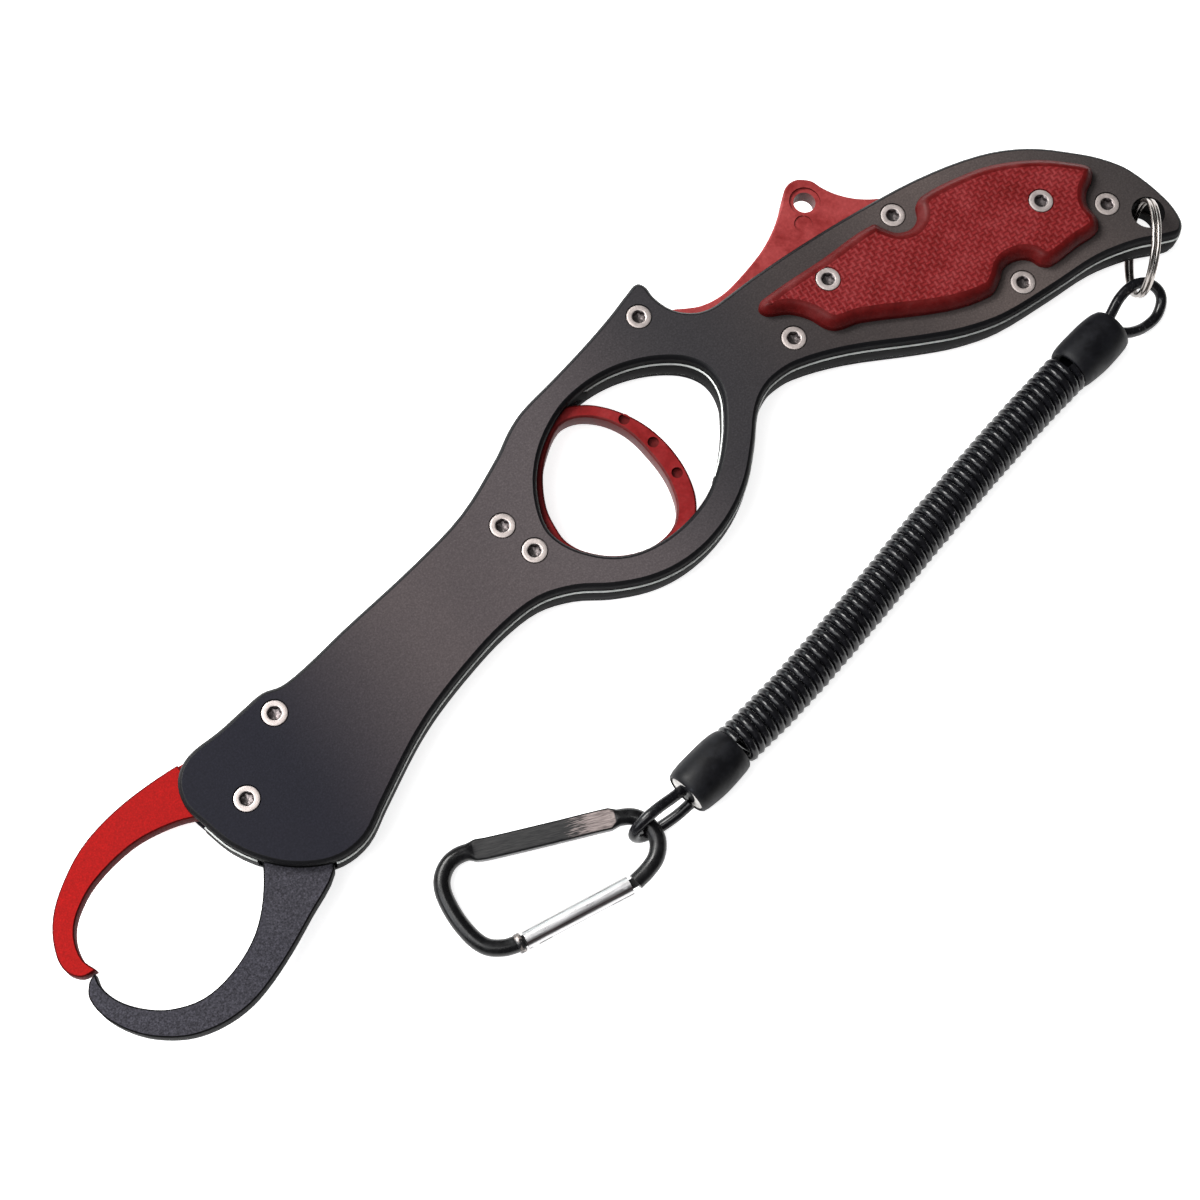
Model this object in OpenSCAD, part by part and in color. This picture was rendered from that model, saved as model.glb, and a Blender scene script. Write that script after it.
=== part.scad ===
// Fish lip grip: two side plates, fixed and moving jaw, trigger ring,
// handle scales, spine insert and a coiled lanyard with a snap hook.
// Units are millimetres. Z is up from the surface the grip lies on, X runs
// from the jaws to the tail, and the origin is under the rear handle scale.

/* [Body] */
// Thickness of one side plate
plate_t = 2.5; // [2:0.1:3.5]
// Gap between the two side plates
gap = 5; // [4.5:0.1:6]
// Thickness of one handle scale
scale_t = 3; // [2:0.1:4]
// Radius of the lanyard hole in the tail
tail_hole_r = 3.7; // [3:0.1:4]

/* [Screws] */
// Radius of a countersunk screw head
head_r = 2.75; // [2.5:0.05:3]
// Radius of a screw shank
shank_r = 1.45; // [1.2:0.05:1.6]
// Length of a screw, head and shank
screw_len = 4.8; // [4:0.1:5]

/* [Mechanism] */
// Distance from the jaw pivot to the drive pin at mid stroke
lever = 6; // [5.5:0.1:6.5]
// Travel of the trigger
travel = 4.2; // [3:0.1:4.2]
// Radius of the jaw pivot barrel
barrel_r = 2; // [1.8:0.1:2.5]
// Radius of the drive pin
pin_r = 1.2; // [1:0.1:1.4]
// Running clearance of pins and slots
fit = 0.05; // [0.03:0.01:0.1]

/* [Lanyard] */
// Outer radius of the coiled cord
coil_r = 5; // [4:0.1:6]
// Radius of the cord in the two end loops
cord_r = 1.2; // [0.8:0.1:1.3]
// Outer radius of a barrel cap
cap_r = 5.6; // [4.5:0.1:6]
// Mean radius of the split ring
ring_r = 10.2; // [9:0.1:11]
// Wire radius of the split ring
ring_wire = 0.55; // [0.4:0.05:0.7]
// Wire radius of the snap hook
hook_r = 1.75; // [1.5:0.05:2]
// Outer radius of the snap hook gate
gate_r = 2; // [1.8:0.05:2.2]

/* [Hidden] */
$fn = 48;

z_rear = scale_t;
z_gap = scale_t + plate_t;
z_mid = z_gap + gap / 2;
z_front = z_gap + gap;
z_top = z_front + plate_t;
e = 0.01;

// Plate screws, from the head to the tail
head_screw = [-161.8, 1.9];
pivot = [-175.7, -9.5];
guide_a = [-102.2, 8.6];
guide_b = [-99.9, 0.5];
horn_screw = [-51.8, 30.6];
web_screw = [-27.6, 8.2];
top_screw = [7.5, 19.1];
low_screw = [21, -9.2];
tail_screw = [48, -5];
plate_screws = [head_screw, pivot, guide_a, guide_b, horn_screw, web_screw,
  top_screw, low_screw, tail_screw];
scale_screws = [[-14.5, 14.1], [34.9, 2.9]];
tail_hole = [54.2, -11.6];
eye = [-5.3, 33.2];

// A smooth closed outline through round points; a third value marks a
// sharp corner.
function xy(p) = [p[0], p[1]];
function unit(v) = v / norm(v);
function herm(a, b, u, w, t) =
  (2*t*t*t - 3*t*t + 1) * a + (t*t*t - 2*t*t + t) * u
  + (3*t*t - 2*t*t*t) * b + (t*t*t - t*t) * w;
function sharp(p) = len(p) > 2 && p[2] == 1;
function curve(P, n = 4) = let(L = len(P)) [
  for (i = [0:L - 1])
    let(o = xy(P[(i + L - 1) % L]), a = xy(P[i]), b = xy(P[(i + 1) % L]),
        c = xy(P[(i + 2) % L]), d = norm(b - a), s = unit(b - a),
        u = sharp(P[i]) ? s : unit(b - o),
        w = sharp(P[(i + 1) % L]) ? s : unit(c - a),
        m = norm(u - s) + norm(w - s) < 0.02 ? 1 : n)
      for (k = [0:m - 1]) herm(a, b, u * d, w * d, k / m)];

plate_pts = [[-184.6, 1.5], [-186.3, -3.4], [-185.2, -9], [-183.2, -15.8],
  [-178.6, -22.8], [-173.2, -27.3], [-167.1, -29.7], [-160.8, -29.1],
  [-154.2, -25.3], [-142.3, -18.5], [-134.2, -14.9], [-123.3, -11.4],
  [-114, -9.2], [-105.2, -8.6], [-97.8, -10.8], [-91.2, -14.8], [-84, -17.9],
  [-77, -19.1], [-69.5, -18.5], [-61.6, -15.9], [-54.6, -11.6], [-48.3, -5.6],
  [-44.3, -1.1], [-40.8, 1.6], [-36.7, 3.1], [-30.5, 3.1], [-19.4, -0.4],
  [-4.8, -7.4], [3.7, -11], [13.1, -13.3], [27, -13.8], [38.2, -13.9],
  [47.5, -15.8], [54.5, -18.6], [57.4, -19.1], [59.4, -16.8], [59.9, -10.9],
  [57.8, -1.3], [54.9, 3.7], [51.1, 8], [42.5, 15.4], [32.3, 20.2],
  [17.2, 23.3], [0, 24.5], [-14.8, 24.8], [-26.4, 24.5], [-33.4, 24],
  [-37.3, 23.8], [-40.2, 24.4], [-42.2, 25.5], [-44.2, 27.3], [-45.6, 29.7],
  [-46.4, 33], [-46.4, 35.6], [-47.6, 37.2], [-50.5, 36.5], [-56.7, 34.3],
  [-65.5, 31.7], [-75.1, 29.3], [-84.2, 27.2], [-89.1, 25.1], [-94.6, 21.7],
  [-107.7, 15.5], [-121.9, 12], [-141.4, 8.6], [-151.5, 6.6], [-157.5, 6],
  [-161.5, 6.9], [-166.1, 6.3], [-172.7, 5.2], [-180.3, 4.4]];
finger_pts = [[-94.8, 3.3], [-93, 8.9], [-89.6, 14.2], [-84.5, 18.9],
  [-77.6, 22.6], [-71, 24], [-64.6, 23.9], [-58.7, 22.5], [-53.3, 20],
  [-49, 16.6], [-46.8, 12.2], [-47.5, 6.9], [-50.8, 1.5], [-54.4, -2.7],
  [-58.9, -6.7], [-65.5, -10.5], [-73.8, -12.4], [-81.7, -11.9],
  [-87.3, -9.5], [-91.8, -5.1], [-94.2, -0.8]];
scale_pts = [[-30.2, 17.2], [-28.3, 18.6], [-12, 19], [1.8, 19.4],
  [3.3, 17.2], [5, 14.9], [8.1, 13.9], [11, 15.2], [12.6, 17.8], [15.3, 18.8],
  [24.5, 17.9], [32, 16.1], [40.9, 11.7], [48, 5.8], [49.7, 3.2], [48.2, 1],
  [45.2, -0.8], [43.4, -3.4], [43.3, -6.5], [42.3, -8.5], [40.5, -9.4],
  [35.9, -9.4], [28.2, -9.8], [26.2, -8.4], [25.3, -6.2], [23, -4.6],
  [19.3, -4.4], [16.3, -6.5], [12.9, -7.9], [3.1, -5.4], [-13.9, 2.9],
  [-18.9, 4.2], [-20.9, 6], [-22.4, 9.6], [-25.3, 13], [-29.4, 15.2]];
spine_pts = [[-45.8, 29.2], [-43.8, 28.7], [-41.2, 27.3], [-38.4, 26.1],
  [-34.7, 25.6], [-30.6, 26], [-21.2, 28.7], [-15.8, 31.3], [-11.4, 34.4],
  [-8, 37.4], [-6.3, 38.5], [-4.2, 38.7], [-2.5, 37.9], [-0.9, 36.3],
  [-0.1, 34], [1.4, 31.2], [3.8, 28.3], [6.4, 26.2], [9.5, 24.4],
  [13.5, 22.2, 1], [15, 17.5], [12, 13.5], [5, 11.8], [-3, 10.8],
  [-13, 9.6], [-22, 14.6], [-34, 19.3], [-43, 22.4], [-46.4, 27]];
trig_out = [[-96.7, 2], [-95.9, 9], [-92.5, 15], [-87.5, 19.9], [-82, 22.9],
  [-77.5, 23.9], [-74, 22.8], [-70.4, 20.4], [-66.9, 16.2], [-64.3, 11],
  [-63, 5.4], [-62.9, -0.2], [-63.8, -5], [-65.5, -9], [-68.5, -12.5],
  [-73, -14.8], [-80, -15.2], [-87.5, -13.2], [-93, -8.9], [-96, -3.5]];
trig_in = [[-92.8, 2.5], [-91.8, 7.6], [-88.4, 13.6], [-84.4, 17.6],
  [-79.5, 20.6], [-75.8, 20.4], [-72.5, 18.4], [-69.8, 15.2], [-68, 11],
  [-67.3, 6], [-67.2, 1], [-67.9, -3.5], [-69.8, -8], [-73.5, -11],
  [-79.5, -11.6], [-86, -9.2], [-90.8, -4.8], [-92.7, -1]];
red_pts = [[-177, 4.4, 1], [-187.5, 4.7], [-197.8, 3.9], [-207.2, 1.3],
  [-215.2, -3.7], [-219.6, -8.3], [-222.1, -13.8], [-222.2, -17.6],
  [-220.3, -20.1], [-217.3, -20.5, 1], [-218.4, -17.2], [-217.4, -12.8],
  [-214.5, -9.2], [-208.6, -5.8], [-199.5, -3.8], [-192.5, -4.2],
  [-186.2, -6], [-181, -9.4], [-176, -11.5], [-171.6, -8], [-172.6, -3.5],
  [-174.6, 0.5]];
black_pts = [[-217.9, -21, 1], [-219.7, -21.9], [-221.3, -24.6],
  [-220.6, -29.7], [-217.3, -35.4], [-212.7, -39.6], [-207.8, -42.1],
  [-201.6, -43.2], [-195.2, -42.6], [-187.1, -39.7], [-177.9, -35.1],
  [-169.4, -30.4], [-168.2, -26, 1], [-167.6, -19.5, 1], [-178.6, -18.2, 1],
  [-180.8, -22.8], [-185.2, -28.8], [-190.1, -33], [-196.9, -36],
  [-203.6, -36.9], [-209.7, -35.1], [-214.1, -31.8], [-217.1, -27.8],
  [-218.3, -23.6]];

// The same outline with the material reaching further by d
function grown(C, d) = let(L = len(C)) [
  for (i = [0:L - 1])
    let(t = unit(C[(i + 1) % L] - C[(i + L - 1) % L]))
      C[i] + d * [t[1], -t[0]]];

module ledge(P, z0, z1) {
  translate([0, 0, z0])
    linear_extrude(height = z1 - z0)
      polygon(grown(curve(P), 0.35));
}

module flat(P, z0, z1) {
  translate([0, 0, z0])
    linear_extrude(height = z1 - z0)
      polygon(curve(P));
}

module disc(p, r, z0, z1) {
  translate([p[0], p[1], z0])
    cylinder(r = r, h = z1 - z0);
}

// Straight bar in plan from a to b
module bar(a, b, w, z0, z1) {
  translate([a[0], a[1], z0])
    rotate([0, 0, atan2(b[1] - a[1], b[0] - a[0])])
      translate([0, -w / 2, 0])
        cube([norm(b - a), w, z1 - z0]);
}

// Countersunk seat and bore, opening upward at height z
module seat(p, z, depth) {
  disc(p, shank_r + 0.1, z - depth - e, z + e);
  translate([p[0], p[1], z - 1.6])
    cylinder(r1 = shank_r + 0.1, r2 = head_r + 0.1, h = 1.3);
  disc(p, head_r + 0.1, z - 0.31, z + e);
}

// Countersunk screw, head flush at height z, shank downward
module screw(p, z, depth) {
  translate([p[0], p[1], z])
    difference() {
      union() {
        translate([0, 0, -0.3])
          cylinder(r = head_r, h = 0.3);
        translate([0, 0, -1.6])
          cylinder(r1 = shank_r, r2 = head_r, h = 1.3);
        translate([0, 0, -depth])
          cylinder(r = shank_r, h = depth - 1.5);
      }
      translate([0, 0, -1.2])
        cylinder(r = 1.3, h = 2, $fn = 6);
    }
}

// What lies above the middle of the gap, mirrored to the rear
module rearward() {
  translate([0, 0, 2 * z_mid])
    mirror([0, 0, 1])
      children();
}

module plate() {
  difference() {
    flat(plate_pts, z_front, z_top);
    flat(finger_pts, z_front - 1, z_top + 1);
    disc(tail_hole, tail_hole_r, z_front - 1, z_top + 1);
    for (p = plate_screws) seat(p, z_top, plate_t);
    for (p = scale_screws) disc(p, shank_r + 0.1, z_front - 1, z_top + 1);
  }
}

module scale_slab() {
  difference() {
    flat(scale_pts, z_top, z_top + scale_t);
    for (p = scale_screws) seat(p, z_top + scale_t, scale_t);
  }
}

module front_plate() { color("#35343a") plate(); }
module rear_plate() { color("#35343a") rearward() plate(); }
module front_scale() { color("#9c2228") scale_slab(); }
module rear_scale() { color("#9c2228") rearward() scale_slab(); }

// Cavity for the link, the spring and the jaw roots
channel_pts = [[-200, -50, 1], [-168.3, -50, 1], [-168.3, -29.8, 1],
  [-165.6, -20, 1], [-158, -16, 1], [-146, -11.5, 1], [-128, -5, 1],
  [-105.6, -4.4, 1], [-105.6, 9.6, 1], [-112, 9.2, 1], [-121, 8.4, 1],
  [-130, 7, 1], [-141, 5, 1], [-150, 3.4, 1], [-157.4, 2.6, 1],
  [-158.6, 12, 1], [-200, 12, 1]];

module core_frame() {
  color("#1b1b1e")
    difference() {
      ledge(plate_pts, z_gap, z_front);
      ledge(finger_pts, z_gap - 1, z_front + 1);
      flat(channel_pts, z_gap - 1, z_front + 1);
      flat(spine_pts, z_gap - 1, z_front + 1);
      for (k = [0:3])
        translate([k * (travel + 0.3) / 3, 0, 0])
          translate([-79, 4, z_gap - 1])
            scale([1.035, 1.035, 1.035])
              translate([79, -4, 0])
                linear_extrude(height = gap + 2)
                  polygon(curve(trig_out));
      bar([-107, 4.55], [-90, 4.55], 3, z_gap - 1, z_front + 1);
      disc(tail_hole, tail_hole_r + 0.5, z_gap - 1, z_front + 1);
      for (p = [guide_a, guide_b, horn_screw, web_screw, low_screw,
                tail_screw, scale_screws[1]])
        disc(p, shank_r + 0.05, z_gap - 1, z_front + 1);
    }
}

module head_spacer() {
  color("#1b1b1e")
    intersection() {
      ledge(plate_pts, z_gap, z_front);
      flat([[-190, -9.2, 1], [-183.4, -9, 1], [-182, -13, 1], [-180.2, -17, 1],
        [-178.9, -18.8, 1], [-181.4, -21.4, 1], [-190, -26, 1]],
        z_gap, z_front);
    }
}

module fixed_jaw() {
  color("#2b2b30")
    difference() {
      union() {
        flat(black_pts, z_gap, z_front);
        disc(pivot, 4.2, z_gap, z_gap + 1.5);
        disc(head_screw, 3.4, z_gap, z_gap + 1.5);
        bar([-174.5, -20], [-174.5, -9.5], 7.8, z_gap, z_gap + 1.5);
        bar(pivot + [0.5, -1.5], head_screw + [1, -1], 4.8, z_gap, z_gap + 1.5);
      }
      disc(pivot, barrel_r + 0.03, z_gap - 1, z_front + 1);
      disc(head_screw, shank_r + 0.05, z_gap - 1, z_front + 1);
    }
}

// Pin path seen from the jaw: the jaw turns by travel / lever, so the ratio
// of jaw angle to trigger travel is constant.
function pin_at(s) = let(a = s / lever * 180 / PI, x = s - travel / 2)
  [x * cos(a) - lever * sin(a), x * sin(a) + lever * cos(a)];

// Corner of the jaw's root that swings past the link and the fixed tang
module root_corner(grow) {
  translate([-183 - grow, -3.6 - grow, z_gap - 1]) cube([30, 30, gap + 2]);
}

module moving_jaw() {
  color("#c41a20")
    difference() {
      union() {
        difference() {
          flat(red_pts, z_gap + 0.4, z_front - 0.4);
          disc(pivot, 9.3, z_gap, z_front);
          root_corner(0);
        }
        intersection() {
          flat(red_pts, z_gap + 1.7, z_gap + 3.1);
          union() {
            disc(pivot, 9.6, z_gap, z_front);
            root_corner(0.3);
          }
        }
        disc(pivot, 4.6, z_gap + 1.7, z_gap + 3.1);
      }
      disc(pivot, barrel_r + fit, z_gap, z_front);
      for (k = [0:6])
        disc(pivot + pin_at(travel * k / 6), pin_r + fit, z_gap, z_front);
    }
}

module jaw_pivot() {
  color("#b9bcc0")
    difference() {
      disc(pivot, barrel_r, z_gap, z_front);
      disc(pivot, shank_r + 0.03, z_gap - 1, z_front + 1);
    }
}

module thrust_washer() {
  color("#c79a4b")
    difference() {
      disc(pivot, 3.1, z_gap + 3.25, z_front);
      disc(pivot, barrel_r + 0.03, z_gap, z_front + 1);
    }
}

module head_post() {
  color("#b9bcc0")
    difference() {
      disc(head_screw, 2.5, z_gap + 1.5, z_front);
      disc(head_screw, shank_r + 0.03, z_gap, z_front + 1);
    }
}

drive = pivot + [-travel / 2, lever];

module draw_link() {
  color("#8d9094")
    difference() {
      union() {
        disc(drive, 2.5, z_gap + 3.4, z_front - 0.3);
        bar(drive + [0, 0.8], [-147, -2.7], 3, z_gap + 3.4, z_front - 0.3);
        bar([-150, -2.7], [-144, -2.7], 3, z_mid - 0.8, z_front - 0.3);
        bar([-146, -2.7], [-127, 4.55], 2.6, z_mid - 0.8, z_mid + 0.8);
        disc([-127, 4.55], 1.3, z_mid - 0.8, z_mid + 0.8);
        bar([-127, 4.55], [-93.4, 4.55], 2.6, z_mid - 0.8, z_mid + 0.8);
      }
      disc(drive, pin_r + 0.01, z_gap, z_front);
      disc([-94.9, 4.55], 0.8 + 0.01, z_gap, z_front);
    }
}

module drive_pin() {
  color("#c9ccd0") disc(drive, pin_r, z_gap + 1.8, z_front - 0.3);
}

// Round part along X, centred on the link
module along_x(r, x0, x1) {
  translate([x0, 4.55, z_mid])
    rotate([0, 90, 0])
      cylinder(r = r, h = x1 - x0);
}

module spring_collar() {
  color("#8d9094")
    difference() {
      along_x(2.3, -126, -124);
      bar([-128, 4.55], [-122, 4.55], 2.6, z_mid - 0.8, z_mid + 0.8);
    }
}

module return_spring() {
  color("#c9ccd0")
    difference() {
      along_x(2.2, -124, -105.6);
      along_x(1.75, -125, -104);
    }
}

module trigger() {
  color("#a8242a")
    difference() {
      flat(trig_out, z_gap + 0.3, z_front - 0.3);
      flat(trig_in, z_gap - 1, z_front + 1);
      bar([-99, 4.55], [-93.4, 4.55], 2.6, z_mid - 0.8, z_mid + 0.8);
      disc([-94.9, 4.55], 0.8 + 0.01, z_gap, z_front);
      for (p = [[-67.2, 14.3], [-65.2, 6.7], [-65.1, -1.6]]) {
        disc(p, 1.2, z_front - 1.2, z_front);
        disc(p, 1.2, z_gap, z_gap + 1.2);
      }
    }
}

module trigger_pin() {
  color("#c9ccd0") disc([-94.9, 4.55], 0.8, z_gap + 0.4, z_front - 0.4);
}

sleeves = [top_screw, scale_screws[0]];

module spine_insert() {
  color("#a8242a")
    difference() {
      flat(spine_pts, z_gap, z_front);
      disc(eye, 2.4, z_gap - 1, z_front + 1);
      disc(eye, 3.4, z_front - 0.5, z_front + 1);
      disc(eye, 3.4, z_gap - 1, z_gap + 0.5);
      disc([-8.8, 29.1], 2, z_front - 0.3, z_front + 1);
      for (p = sleeves) disc(p, 2.5, z_gap - 1, z_front + 1);
    }
}

module spine_sleeves() {
  color("#c79a4b")
    for (p = sleeves)
      difference() {
        disc(p, 2.5, z_gap, z_front);
        disc(p, shank_r + 0.03, z_gap - 1, z_front + 1);
      }
}

module front_screws() {
  color("#cfcac8") for (p = plate_screws) screw(p, z_top, screw_len);
}

module rear_screws() {
  color("#cfcac8")
    rearward()
      for (p = plate_screws) screw(p, z_top, screw_len);
}

module front_scale_screws() {
  color("#cfcac8")
    for (p = scale_screws) screw(p, z_top + scale_t, screw_len + scale_t);
}

module rear_scale_screws() {
  color("#cfcac8")
    rearward()
      for (p = scale_screws) screw(p, z_top + scale_t, screw_len + scale_t);
}

// Split ring, standing through the tail hole
ring_c = [48.5, -17.2, 11.4];

module split_ring() {
  color("#b9bcc0")
    translate(ring_c)
      rotate([0, 0, 52])
        rotate([91, 0, 0])
          for (s = [-1, 1])
            translate([0, 0, s * 0.5])
              rotate_extrude()
                translate([ring_r, 0])
                  circle(r = ring_wire, $fn = 16);
}

// Direction of the two end caps; the coil wanders between them
line_a = 9.5;
line_u = [cos(line_a), sin(line_a), 0];
coil_z = 5.3;
cap_z = 5.7;
up_end = [19.5, -29.25, cap_z];
low_end = [-89.5, -54.85, cap_z];
coil_route = [low_end + [0.5, 0.1, 0], [-74, -52.1, coil_z], [-54, -47.3, coil_z],
  [-27, -40, coil_z], [0, -33.3, coil_z], up_end - [0.5, 0.1, 0]];

module along_line(p, r, len_) {
  translate(p)
    rotate([0, 0, line_a])
      rotate([0, 90, 0])
        cylinder(r = r, h = len_);
}

module upper_cap() {
  color("#1c1c1e")
    difference() {
      union() {
        along_line(up_end, cap_r, 12.9);
        along_line(up_end + 12.4 * line_u, cap_r - 0.6, 2.2);
      }
      along_line(up_end + 1 * line_u, 3.2, 20);
    }
}

module upper_plug() {
  color("#d8d8d4")
    along_line(up_end + 9 * line_u, 3.2, 5);
}

module coil() {
  color("#141416")
    tube(coil_route, coil_r, 4, 12);
}

module lower_cap() {
  color("#1c1c1e")
    difference() {
      along_line(low_end - 13.8 * line_u, cap_r, 13.8);
      along_line(low_end - 20 * line_u, 3.9, 19);
    }
}

module lower_plug() {
  color("#d8d8d4")
    along_line(low_end - 13.6 * line_u, 3.9, 6);
}

// A cord through round points: rings round a smooth route
function herm3(P, i, t) =
  let(L = len(P), a = P[i], b = P[i + 1], d = norm(b - a),
      u = unit(b - P[max(i - 1, 0)]), w = unit(P[min(i + 2, L - 1)] - a))
    herm(a, b, u * d, w * d, t);
function route(P, n) = concat(
  [for (i = [0:len(P) - 2]) for (k = [0:n - 1]) herm3(P, i, k / n)],
  [P[len(P) - 1]]);

module tube(P, r, n, m = 8, up = [0, 0, 1]) {
  R = route(P, n);
  L = len(R);
  V = [for (i = [0:L - 1])
    let(t = unit(R[min(i + 1, L - 1)] - R[max(i - 1, 0)]),
        s = unit(cross(t, up)), q = cross(s, t))
      for (k = [0:m - 1])
        R[i] + r * (cos(360 * k / m) * s + sin(360 * k / m) * q)];
  F = concat(
    [[for (k = [0:m - 1]) m - 1 - k]],
    [for (i = [0:L - 2]) for (k = [0:m - 1])
      [m*i + k, m*i + (k + 1) % m, m*(i + 1) + (k + 1) % m, m*(i + 1) + k]],
    [[for (k = [0:m - 1]) m*(L - 1) + k]]);
  polyhedron(points = V, faces = F);
}

upper_route = [[34.2, -28, 5], [37.6, -29.6, 3.8], [41.6, -30.1, 2.6],
  [45.8, -29.4, 2.6], [48.6, -26.6, 4], [47.2, -23.3, 6], [43.6, -21.9, 6.9],
  [39.6, -22.4, 6.3], [36.3, -23.9, 5.6], [33.8, -25.2, 5.2]];
lower_route = [[-103.5, -56.1, 6.3], [-106.2, -56.3, 7.2], [-110, -56.5, 8.1],
  [-113.9, -56.9, 7.5], [-116.3, -57.6, 4.7], [-114.7, -58.5, 1.7],
  [-110.8, -58.9, 1.4], [-106.6, -59.1, 2.6], [-103.3, -59, 4]];

module upper_loop() { color("#141416") tube(upper_route, cord_r, 5); }
module lower_loop() { color("#141416") tube(lower_route, cord_r, 4, 8, [0, 1, 0]); }

// Snap hook: a bent wire with round corners, tipped up where the loop
// passes under it
tip_a = 3.2;
hook_z = 2.05;

module tipped() {
  translate([-156, 0, 0])
    rotate([0, -tip_a, 0])
      translate([156, 0, 0])
        children();
}

// Short straight length of the wire's round section, from a to b
module rod(a, b, r) {
  translate([a[0], a[1], hook_z])
    rotate([0, 0, atan2(b[1] - a[1], b[0] - a[0])])
      rotate([0, 90, 0])
        cylinder(r = r, h = norm(b - a));
}

hook = [[-147.1, -62], [-150.2, -60.9], [-152.9, -58.6], [-154.2, -54.6],
  [-154.3, -48.6], [-153, -43.6], [-149.9, -41], [-146.2, -40.8],
  [-141.6, -42.9], [-129, -48], [-117, -52.8], [-113.9, -54.7],
  [-112.5, -57.8], [-112.8, -61.1], [-115, -63.7], [-118, -64.9],
  [-121.6, -65.5]];
gate_a = [-122.6, -65.3];
gate_b = [-145.8, -62.2];
gate_u = unit(gate_b - gate_a);
rivet = gate_a + 1.3 * gate_u;
latch = gate_b - 1.6 * gate_u;

module hook_body() {
  color("#151517")
    tipped()
      difference() {
        union() {
          tube([for (p = hook) [p[0], p[1], hook_z]], hook_r, 3, 12);
          bar([-144.6, -42.1], [-117.4, -52.8], 4.6, hook_z - 1.45,
            hook_z + 1.45);
          rod(gate_b + 0.5 * gate_u, gate_b + 1.9 * gate_u, 2.1);
          bar(gate_b + gate_u, latch - gate_u, 2.4, hook_z - 0.5, hook_z + 0.5);
          bar(gate_a - 2 * gate_u, rivet + 1.1 * gate_u, 2, hook_z - 0.5, hook_z + 0.5);
        }
        disc(rivet, 0.6 + fit, hook_z - 3, hook_z + 3);
        disc(latch, 0.5 + 0.01, hook_z - 3, hook_z + 3);
      }
}

module hook_gate() {
  color("#c9ccd0")
    tipped()
      difference() {
        rod(gate_a, gate_b, gate_r);
        rod(gate_a - gate_u, gate_b + gate_u, gate_r - 0.4);
        bar(gate_a - gate_u, gate_a + 5 * gate_u, 6, hook_z - 0.6,
          hook_z + 0.6);
        bar(gate_b + gate_u, gate_b - 5 * gate_u, 6, hook_z - 0.6,
          hook_z + 0.6);
        bar(latch + 0.2 * gate_u + 3 * [-gate_u[1], gate_u[0]],
          latch + 0.2 * gate_u - 0.9 * [-gate_u[1], gate_u[0]],
          1.6, hook_z - 3, hook_z + 0.3);
        disc(rivet, 0.6 + 0.01, hook_z - 3, hook_z + 3);
      }
}

module gate_rivet() {
  color("#c9ccd0")
    tipped() disc(rivet, 0.6, hook_z - gate_r + 0.1, hook_z + gate_r - 0.1);
}

module latch_pin() {
  color("#151517") tipped() disc(latch, 0.5, hook_z - 1.3, hook_z + 0.5);
}

front_plate();
rear_plate();
core_frame();
head_spacer();
fixed_jaw();
moving_jaw();
jaw_pivot();
thrust_washer();
head_post();
draw_link();
drive_pin();
spring_collar();
return_spring();
trigger();
trigger_pin();
spine_insert();
spine_sleeves();
front_scale();
rear_scale();
front_screws();
rear_screws();
front_scale_screws();
rear_scale_screws();
split_ring();
upper_loop();
upper_cap();
upper_plug();
coil();
lower_cap();
lower_plug();
lower_loop();
hook_body();
hook_gate();
gate_rivet();
latch_pin();
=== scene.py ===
import math

import bmesh
import bpy
import numpy as np
from mathutils import Matrix, Vector
from mathutils.geometry import delaunay_2d_cdt


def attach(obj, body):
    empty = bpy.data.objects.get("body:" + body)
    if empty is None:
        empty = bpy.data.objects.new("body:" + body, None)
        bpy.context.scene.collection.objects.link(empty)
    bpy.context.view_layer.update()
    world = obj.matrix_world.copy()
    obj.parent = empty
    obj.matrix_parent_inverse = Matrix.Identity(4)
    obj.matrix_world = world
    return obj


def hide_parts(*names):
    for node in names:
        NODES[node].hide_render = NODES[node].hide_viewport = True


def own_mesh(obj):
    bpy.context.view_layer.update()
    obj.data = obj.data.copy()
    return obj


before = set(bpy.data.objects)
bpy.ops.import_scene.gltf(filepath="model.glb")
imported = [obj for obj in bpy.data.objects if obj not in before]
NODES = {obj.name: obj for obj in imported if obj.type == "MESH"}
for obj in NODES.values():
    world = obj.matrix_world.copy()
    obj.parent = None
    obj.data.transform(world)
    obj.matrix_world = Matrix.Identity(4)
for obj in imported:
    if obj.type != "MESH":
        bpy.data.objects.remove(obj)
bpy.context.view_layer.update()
MM = 0.001
JOINED = 2e-6  # corners nearer than this, in metres, are one corner

# Levels of the stack, in metres
REAR_PLATE_LOW = 3 * MM
GAP_LOW = 5.5 * MM
GAP_HIGH = 10.5 * MM
PLATE_TOP = 13 * MM
SCALE_TOP = 16 * MM

PLATE_SCREWS = [(-161.8, 1.9), (-175.7, -9.5), (-102.2, 8.6), (-99.9, 0.5), (-51.8, 30.6),
                (-27.6, 8.2), (7.5, 19.1), (21, -9.2), (48, -5)]
SCALE_SCREWS = [(-14.5, 14.1), (34.9, 2.9)]

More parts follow.
